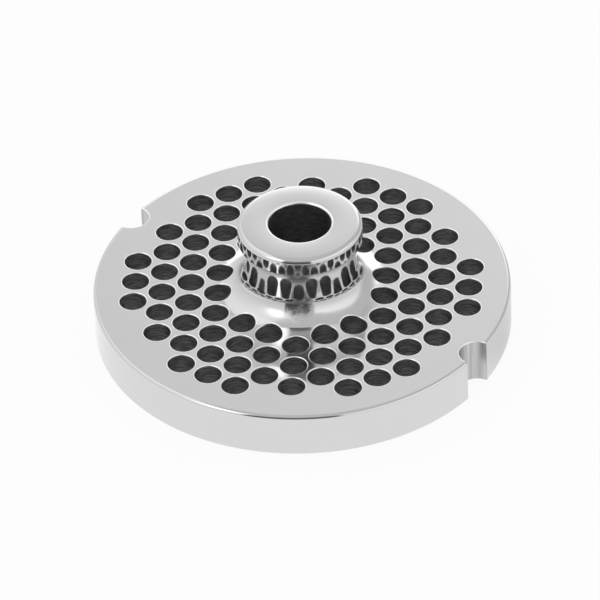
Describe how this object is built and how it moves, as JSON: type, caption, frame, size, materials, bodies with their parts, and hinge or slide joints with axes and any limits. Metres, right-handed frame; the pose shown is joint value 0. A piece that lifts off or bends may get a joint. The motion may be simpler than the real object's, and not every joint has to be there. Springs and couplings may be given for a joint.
{
  "type": "meat grinder plate",
  "caption": "Round steel grinder plate with through meat holes, a waisted central hub with a collar and bore, and opposed locating notches in its rim.",
  "frame": {"origin": "centre of the flat cutting face, on the axis of the bore", "axes": "+Z along the bore axis, from the cutting face up to the hub; the notches are on +X and -X"},
  "size_m": [0.0698, 0.07, 0.0212],
  "materials": {
    "stainless_steel": "ground and polished"
  },
  "bodies": {
    "root": {"grinder_plate": "stainless_steel"}
  },
  "joints": []
}
